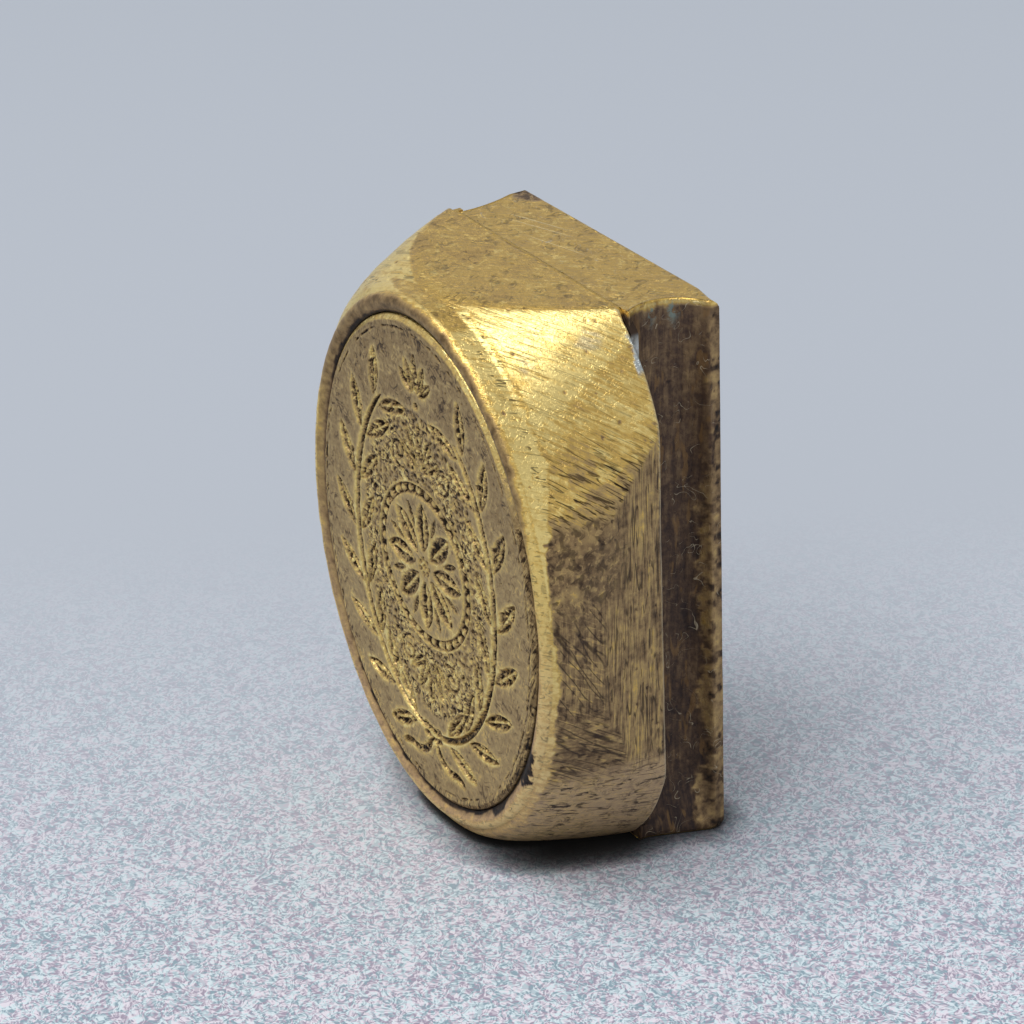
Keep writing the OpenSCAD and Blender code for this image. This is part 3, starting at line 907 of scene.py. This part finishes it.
def build_die(material):
    """Oval plate with its engraved face, bevelled edge and back."""
    v, u = np.meshgrid(np.linspace(-1, 1, DIE_ROWS), np.linspace(-1, 1, DIE_COLUMNS), indexing="ij")
    x = (DIE_W / 2 - DIE_BEVEL) * u * np.sqrt(1 - v * v / 2)
    z = (DIE_H / 2 - DIE_BEVEL) * v * np.sqrt(1 - u * u / 2)
    plate, ground = engrave(x, z)
    flat_place = np.stack([x, z, 0 * x], -1)
    tool = fractal(flat_place / 0.22, 3, 41)
    depth = plate.depth * (1 + 0.3 * plate.rough * tool) + 0.06 * plate.rough * tool
    depth += ground * (0.03 + 0.035 * fractal(flat_place / 0.2, 2, 45))
    depth += 0.012 * ease(fractal(flat_place / 0.5, 3, 43), 0.35, 0.9)
    depth += 0.004 * fractal(flat_place / 0.9, 3, 44)
    round_mean = depth.copy()
    for _ in range(2):
        for axis, reach in ((0, 3), (1, 2)):
            steps = range(-reach, reach + 1)
            round_mean = sum(np.roll(round_mean, k, axis) for k in steps) / len(steps)
    edge_fade = fade(np.maximum(np.abs(u), np.abs(v)), 0.95, 0.99)
    recess = (depth - round_mean) / 0.06 * edge_fade
    share = np.hypot(x / (DIE_W / 2 - DIE_BEVEL), z / (DIE_H / 2 - DIE_BEVEL))
    to_edge = np.hypot(x, z) * (1 / np.maximum(share, 0.3) - 1) + 0.02 * tool
    depth += CHAMFER_D * np.clip(1 - to_edge / CHAMFER_W, 0, 1)
    chamfer = fade(to_edge, CHAMFER_W - 0.05, CHAMFER_W + 0.03)

    depth = np.clip(depth, 0.001, DIE_REAR_Y - DIE_FRONT_Y - 0.2)
    face = np.stack([x, DIE_FRONT_Y + depth, OVAL_Z + z], -1).reshape(-1, 3)
    loop = border(DIE_ROWS, DIE_COLUMNS)
    count, start = len(loop), len(face)
    reach = DIE_W / 2 / (DIE_W / 2 - DIE_BEVEL)
    walls = []
    for widen, y in ((0.5, 0.14), (1.0, 0.2), (1.0, 0.4), (1.0, DIE_REAR_Y - DIE_FRONT_Y)):
        ring = face[loop].copy()
        grow = 1 + (reach - 1) * widen
        ring[:, 0] *= grow
        ring[:, 2] = OVAL_Z + (ring[:, 2] - OVAL_Z) * (1 + (grow - 1) * DIE_W / DIE_H)
        ring[:, 1] = DIE_FRONT_Y + y
        walls.append(ring)
    points = np.vstack([face, *walls, [[0, DIE_REAR_Y, OVAL_Z]]])
    faces = grid_faces(DIE_ROWS, DIE_COLUMNS, False)
    rows = [loop] + [start + k * count + np.arange(count) for k in range(len(walls))]
    for a, b in zip(rows[:-1], rows[1:]):
        faces += [(a[(i + 1) % count], a[i], b[i], b[(i + 1) % count]) for i in range(count)]
    centre = len(points) - 1
    faces += [(rows[-1][(i + 1) % count], rows[-1][i], centre) for i in range(count)]

    on_face = {
        "cut": np.clip(plate.depth / CUT, 0, 1),
        "ground": ground,
        "recess": np.clip(recess, -1, 1),
        "edge": chamfer,
        "margin": fade(to_edge, 0.3, 0.55),
    }
    off_face = np.zeros(len(points) - start)
    values = {key: np.append(value.ravel(), off_face) for key, value in on_face.items()}
    values["edge"][start:start + 3 * count] = 1
    values["height"] = (points[:, 2] - OVAL_Z) / (DIE_H / 2)
    return make_piece("seal_die_engraved", points, faces, values, material, "seal_die")


def die_paint():
    paint = Paint("die_brass")
    cut, ground, recess = paint.values("cut", "ground", "recess")
    edge, margin, level = paint.values("edge", "margin", "height")
    speck = paint.noise(0.2, 4, 3.0)
    worm = paint.hooks(0.36, 0.05, 5.0)
    scratch = paint.dashes(FIELD_STROKE, 0.09, 1.3, 16.0, 0.63, 0.7)
    clump = paint.spread(paint.noise(1.3, 2, 18.0), 0.36, 0.62)
    worked = paint.math("ADD", cut, paint.times(ground, clump), clamp=True)
    rubbed = paint.sum((0.3, paint.lines(FIELD_STROKE, 0.17, 1.6, 0.08, 44.0, 0.7)),
                       (-0.35, paint.lines(FIELD_STROKE, 0.19, 1.8, 0.07, 46.0, 0.6)))
    tone = paint.sum(
        # Painted reflection of the floor: the die face is painted lighter towards the bottom
        (1.0, paint.spread(level, -0.6, 1.0, 0.53, 0.43)),
        (1.0, paint.add((0.3, paint.noise(1.5, 4)), (0.45, speck))),
        (-0.45, recess),
        (0.22, paint.curls(24.0)),
        (-0.26, paint.curls(27.0)),
        (worked, paint.spread(paint.noise(0.32, 3, 8.0, 2.2), 0.36, 0.64, -0.42, 0.48)),
        (-0.1, worm),
        (0.2, scratch),
        (paint.times(margin, paint.spread(level, 0.2, 0.6, 1, 0)), rubbed),
        # Painted highlight: the chamfer and wall round the die are painted bright towards the top and dark
        # towards the bottom
        (edge, paint.spread(level, 0.3, 0.75, -0.2, 0.45)),
    )
    height = paint.add((1.0, speck), (-0.5, worm), (0.4, scratch))
    roughness = paint.spread(tone, 0.2, 0.9, 0.5, 0.33)
    metallic = paint.spread(tone, 0.1, 0.6, 0.85, 1.0)
    return paint.finish(paint.ramp(tone, DIE_BRASS), roughness, metallic, height, 0.02)


def cove_half(cove, y):
    """Half-width of the back block at a depth, on the side that has this cove."""
    r, depth = cove["r"], cove["depth"]
    run = math.sqrt(r * r - (r - depth) ** 2)
    edge = BACK_Y - cove["lip"]
    from_middle = np.clip(np.abs(y - (edge - run)), 0, r)
    hollow = BACK_W / 2 - depth + r - np.sqrt(r * r - from_middle**2)
    return np.where(y < edge, np.minimum(hollow, BACK_W / 2), BACK_W / 2)


def foot_half(y, z):
    """Half-width of the sloping foot that ends the near cove."""
    run = BACK_Y - FOOT_LIP - BACK_FRONT_Y
    lean = FOOT_LEAN * math.hypot(1, FOOT_BACK / run)
    slope = BACK_W / 2 - FOOT_BACK + FOOT_BACK / run * (y - BACK_FRONT_Y) - lean * z / FOOT_H
    return np.minimum(slope, BACK_W / 2)


def section_rows(cove):
    """Depths of the section's rows on one side, with a row on the edge of its lip."""
    edge = BACK_Y - cove["lip"]
    lip_rows = 10
    cove_y = np.linspace(BACK_FRONT_Y + 0.01, edge, BACK_ROWS - lip_rows - 1)
    return np.concatenate([[BACK_FRONT_Y], cove_y, np.linspace(edge, BACK_Y, lip_rows + 1)[1:]])


def back_section(inset, z):
    """Points over the block's cross-section at a height, drawn in from its outline by an inset."""
    near_y, far_y = section_rows(NEAR_COVE), section_rows(FAR_COVE)
    near = -smooth_min(-cove_half(NEAR_COVE, near_y), -foot_half(near_y, z), 0.35)
    near = np.minimum(near, BACK_W / 2)
    far = cove_half(FAR_COVE, far_y)
    across = np.linspace(0, 1, BACK_COLUMNS)
    y = far_y[:, None] * (1 - across) + near_y[:, None] * across
    y = np.minimum(y, BACK_Y - inset)
    x = -(far - inset)[:, None] * (1 - across) + (near - inset)[:, None] * across
    return np.stack([x, y], -1)


def round_corners(p):
    """Wear off the corners where the near lip meets the ends of the block."""
    for axis, face, reach in ((1, BACK_Y, CORNER_R * ease(p[:, 0], 5.2, 7.2)),
                              (0, BACK_W / 2, 0.5 * CORNER_R * ease(p[:, 1], 4.2, 5.0))):
        radius = np.maximum(reach, 1e-6)
        end = np.minimum(p[:, 2], STAMP_H - p[:, 2])
        inward = np.maximum(radius - (face - p[:, axis]), 0)
        endward = np.maximum(radius - end, 0)
        keep = np.minimum(radius / np.maximum(np.hypot(inward, endward), 1e-9), 1)
        p[:, axis] -= inward * (1 - keep)
        p[:, 2] -= endward * (1 - keep) * np.sign(p[:, 2] - STAMP_H / 2)
    return p


def build_back(material):
    loop = border(BACK_ROWS, BACK_COLUMNS)
    levels = []
    for turn in np.linspace(0, math.pi / 2, 4):
        levels.append((BACK_EDGE_R * (1 - math.sin(turn)), BACK_EDGE_R * (1 - math.cos(turn))))
    heights = np.linspace(2 * BACK_EDGE_R, STAMP_H - 2 * BACK_EDGE_R, BACK_LEVELS)
    rings = [(inset, z) for inset, z in levels] + [(0.0, z) for z in heights]
    rings += [(inset, STAMP_H - z) for inset, z in levels[::-1]]

    points = []
    for inset, z in rings:
        outline = back_section(inset, z).reshape(-1, 2)[loop]
        outline = (np.roll(outline, 1, 0) + 2 * outline + np.roll(outline, -1, 0)) / 4
        points.append(np.column_stack([outline, np.full(len(loop), z)]))
    walls = np.array(points)
    normal = ring_normals(walls)
    caps = []
    for z in (0.0, STAMP_H):
        inner = back_section(BACK_EDGE_R, z)[1:-1, 1:-1].reshape(-1, 2)
        caps.append(np.column_stack([inner, np.full(len(inner), z)]))
    facing = [np.tile([0.0, 0.0, way], (len(inner), 1)) for way in (-1, 1)]
    flat = np.vstack([walls.reshape(-1, 3), *caps])
    normal = np.vstack([normal.reshape(-1, 3), *facing])
    values = back_surface(flat, normal)
    height = values.pop("height")
    flat = round_corners(flat + normal * height[:, None])
    flat[:, 2] = np.clip(flat[:, 2], 0, STAMP_H)
    flat[:, 1] = np.clip(flat[:, 1], BACK_FRONT_Y, BACK_Y)

    count = len(loop)
    faces = grid_faces(len(rings), count, True)
    for first, start, flip in ((0, count * len(rings), 1), (count * (len(rings) - 1),
                                                            count * len(rings) + len(inner), -1)):
        grid = np.full((BACK_ROWS, BACK_COLUMNS), -1)
        grid.ravel()[loop] = first + np.arange(count)
        grid[1:-1, 1:-1] = start + np.arange(len(inner)).reshape(BACK_ROWS - 2, BACK_COLUMNS - 2)
        for quad in grid_faces(BACK_ROWS, BACK_COLUMNS, False):
            faces.append(grid.ravel()[quad][::flip].tolist())
    return make_piece("back_block_coved", flat, faces, values, material, "back_block")


def back_surface(p, n):
    """Wear, pits, tarnish and painted shade near the floor over the back block."""
    y, z = p[:, 1], p[:, 2]
    wander = fractal(p / 1.7, 3, 51)
    ragged = fractal(p / 0.6, 3, 53)
    fine = fractal(p / 0.25, 3, 55)
    top = ease(np.abs(n[:, 2]), 0.55, 0.8)
    rear = ease(n[:, 1], 0.8, 0.95)
    cove = np.clip(1 - top - rear, 0, 1)
    lip_from = 4.35 + 0.3 * ease(z, 16.5, 19) - 0.7 * fade(z, 0.3, 3.0)
    streak = strokes(p, SIDE_STROKE, 0.2, 1.4, 59)
    lip_place = y + 0.16 * ragged + 0.12 * fine + 0.12 * streak - lip_from
    lip = cove * ease(lip_place, -0.08, 0.08)
    end = np.minimum(z, STAMP_H - z)
    to_rear = BACK_Y - y
    corner = ease(-np.hypot(to_rear, end), -0.45, -0.05)
    rim = ease(-end + 0.07 * ragged, -0.3, -0.2) * (1 - top) * (z > STAMP_H / 2)
    pits = pitted(p, 57)
    height = cove * (0.010 * ragged + 0.008 * fine - 0.03 * pits) + 0.008 * rear * wander
    height -= top * (0.004 * np.abs(fine) + 0.02 * pits)
    height -= 0.02 * (1 - top) * corner * (1 + ragged)
    height -= 0.025 * ease(-end, -0.25, 0.0) * (1 - top) * (1 + ragged)
    tarnish = 0.15 + 0.06 * wander + 0.12 * ease(ragged, 0.2, 0.9) + 0.11 * ease(z, 15, 20)
    # Painted shade: the tarnish is painted darker within 2 mm of the floor
    tarnish -= 0.08 * fade(z, 0.2, 2.0)
    lip_shine = 0.36 + 0.06 * ease(z, 2, 5) - 0.06 * ease(z, 15, 18)
    lip_shine += 0.1 * ragged + 0.14 * fine + 0.1 * streak
    lip_shine -= 0.25 * ease(fractal(p / 0.35, 2, 58), 0.2, 0.5)
    shine = blend(lip, tarnish, lip_shine)
    shine = blend(rear, shine, 0.32 + 0.1 * wander + 0.1 * ragged)
    shine = blend(np.clip(rim, 0, 1), shine, 0.95)
    patina = patch(p, (-7.0, 4.9, STAMP_H), (1.6, 0.9, 1))
    patina += patch(p, (-3.42, -1.32, STAMP_H), (0.3, 0.2, 1))
    shine = blend(top, shine, 0.74 + 0.05 * wander - 0.5 * patina)
    shine -= 0.3 * pits
    green = patch(p, (5.7, 2.7, 24.5), (0.6, 0.5, 0.9)) + patch(p, (6.0, 3.6, 24.5), (0.6, 0.4, 0.9))
    return {"height": height, "top": top, "cove": cove * (1 - lip), "shine": np.clip(shine, 0, 1),
            "green": np.clip(0.7 * cove * green, 0, 1)}


def back_paint():
    paint = Paint("back_brass")
    top, cove, shine, green = paint.values("top", "cove", "shine", "green")
    speck = paint.noise(0.28, 4, 3.0)
    worm = paint.hooks(0.5, 0.05, 5.0)
    marks = paint.add(
        (top, paint.strokes(TOP_STROKE, 0.09, 1.6, 6.0)),
        (cove, paint.strokes(SIDE_STROKE, 0.16, 1.8, 3.0)),
    )
    mist = paint.add((0.2, paint.noise(1.6, 4)), (0.42, speck))
    light = paint.times(top, paint.curls(43.0))
    tone = paint.sum((1.0, shine), (1.0, mist), (0.6, marks), (-0.06, worm), (0.28, light))
    streak = paint.times(paint.dashes(SIDE_STROKE, 0.3, 1.6, 9.0, 0.58, 0.66), cove)
    hairs = paint.times(paint.spread(paint.hooks(1.0, 0.014, 12.0, 1.2), 0.3, 1.0),
                        paint.spread(paint.noise(0.7, 1, 14.0), 0.52, 0.6))
    dents = paint.times(top, paint.curls(39.0))
    lines = (((-5.8, 2.9), (-1.9, 4.2), 0.07), ((-5.2, 2.6), (-1.2, 3.95), 0.055),
             ((-3.5, 2.2), (0.8, 3.3), 0.045))
    long_scratches = paint.sum(*((top, paint.scratch(*line)) for line in lines))
    colour = paint.over(
        paint.ramp(tone, BRASS),
        (paint.spread(shine, 0.45, 0.65, 0, 0.4), top, GOLD),
        (0.35, cove, COVE_BROWN),
        (0.6, streak, STREAK_TAN),
        (0.65, hairs, PALE),
        (0.5, dents, BROWN),
        (0.7, long_scratches, BARE),
        (paint.spread(speck, 0.46, 0.56), green, VERDIGRIS),
    )
    height = paint.sum((1.0, marks), (-0.25, worm), (0.5, speck), (0.4, hairs), (-0.6, dents),
                       (-0.6, long_scratches))
    roughness = paint.spread(shine, 0.1, 0.9, 0.5, 0.33)
    metallic = paint.spread(shine, 0.2, 0.8, 0.6, 1.0)
    return paint.finish(colour, roughness, metallic, height, 0.022)


def solder_paint():
    """Dull grey solder, rubbed to the colour of the brass where it is flush with the upper end."""
    paint = Paint("solder")
    lump = paint.noise(0.25, 3, 4.0)
    grey = paint.ramp(paint.noise(0.5, 3), ((0.3, linear(112, 108, 98)), (0.5, linear(170, 170, 162)),
                                            (0.7, linear(205, 207, 202))))
    rubbed = paint.ramp(lump, ((0.3, linear(176, 144, 74)), (0.7, linear(214, 180, 96))))
    flush = paint.height(STAMP_H - 0.25, STAMP_H - 0.05)
    above = paint.height(STAMP_H - 2.4, STAMP_H - 2.0)
    below = paint.height(STAMP_H - 1.1, STAMP_H - 0.8, 1, 0)
    colour = paint.mix(paint.times(above, below), linear(70, 56, 46), grey)
    return paint.finish(paint.mix(flush, colour, rubbed), 0.42, 0.85, lump, 0.05)


build_head(head_paint())
build_die(die_paint())
build_back(back_paint())
solder = solder_paint()
for name in ("die_solder", "back_solder"):
    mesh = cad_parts[name].data
    mesh.materials.clear()
    mesh.materials.append(solder)


# Floor, light and camera
CAMERA_AT = Vector((110.49, -65.95, 80.04)) * MM
CAMERA_AIM = Vector((-0.74, -0.20, 13.54)) * MM
CAMERA_ROLL = math.radians(-2.353)
CAMERA_LENS = 119.15
FLOOR_SIZE = 3.0


def build_floor():
    """Pale matt floor whose fine grain fades away behind the stamp, painted darker further back, with a
    painted contact shadow round the stamp.
    """
    mesh = bpy.data.meshes.new("floor")
    corners = [(x * FLOOR_SIZE, y * FLOOR_SIZE, 0) for x, y in ((-1, -1), (1, -1), (1, 1), (-1, 1))]
    mesh.from_pydata(corners, [], [(0, 1, 2, 3)])
    paint = Paint("floor")
    away = paint.dot(paint.place, (-0.86, 0.51, 0))
    near = paint.spread(away, -0.025, 0.03, 1, 0)
    dark, light = (paint.hooks(0.7, 0.1, seed, 2.0) for seed in (2.0, 9.0))
    grain = paint.math("SUBTRACT", light, dark)
    grey = paint.mix(paint.spread(grain, -0.75, 0.75), linear(112, 118, 134), linear(250, 253, 255))
    bluish = paint.spread(paint.noise(0.5, 1, 7.0, 2.0), 0.4, 0.6)
    tint = paint.mix(bluish, linear(210, 184, 208), linear(166, 208, 220))
    # Painted shade: the plain floor is painted darker further back
    plain = paint.mix(paint.spread(away, 0.02, 0.32), linear(184, 190, 199), linear(162, 170, 180))
    colour = paint.mix(near, plain, paint.mix(0.42, grey, tint))

    # Painted contact shadow: narrow all round, and wider on the side away from the light
    unlit = paint.spread(paint.dot(paint.place, (0.51, 0.86, 0)), -0.007, 0.001, 0.25, 1)
    shade = paint.math("MAXIMUM", paint.covered(0.5), paint.times(unlit, paint.covered(1.7)))
    colour = paint.mix(shade, colour, linear(8, 8, 10))
    mesh.materials.append(paint.finish(colour, 0.9, 0.0, paint.times(grain, near), 0.006))
    new_object("floor", mesh)


def build_world():
    world = bpy.data.worlds.new("studio")
    world.use_nodes = True
    bpy.context.scene.world = world
    tree = world.node_tree
    height = tree.nodes.new("ShaderNodeSeparateXYZ")
    ramp = tree.nodes.new("ShaderNodeValToRGB")
    tree.links.new(tree.nodes.new("ShaderNodeTexCoord").outputs["Generated"], height.inputs[0])
    tree.links.new(height.outputs["Z"], ramp.inputs["Fac"])
    tree.links.new(ramp.outputs["Color"], tree.nodes["Background"].inputs["Color"])
    for element, colour in zip(ramp.color_ramp.elements, (linear(214, 216, 219), linear(168, 170, 174))):
        element.color = (*colour, 1)


def add_lamp(name, direction, distance, size, power):
    """Square lamp at a direction and distance from the stamp, facing it; lengths in metres."""
    lamp = bpy.data.lights.new(name, "AREA")
    lamp.size = size
    lamp.energy = power
    holder = new_object(name, lamp)
    way = Vector(direction).normalized()
    holder.location = way * distance + Vector((0, 0, STAMP_H / 2 * MM))
    holder.rotation_mode = "QUATERNION"
    holder.rotation_quaternion = way.to_track_quat("Z", "Y")


def build_camera():
    camera = bpy.data.cameras.new("camera")
    camera.lens = CAMERA_LENS
    camera.sensor_width = 36
    camera.clip_start = 0.01
    holder = new_object("camera", camera)
    view = (CAMERA_AT - CAMERA_AIM).normalized()
    holder.location = CAMERA_AT
    holder.rotation_mode = "QUATERNION"
    holder.rotation_quaternion = Quaternion(view, CAMERA_ROLL) @ view.to_track_quat("Z", "Y")
    bpy.context.scene.camera = holder


build_floor()
build_world()
add_lamp("key", (-0.05, -0.38, 0.92), 1.5, 1.1, 15)
build_camera()
bpy.context.scene.view_settings.view_transform = "Standard"
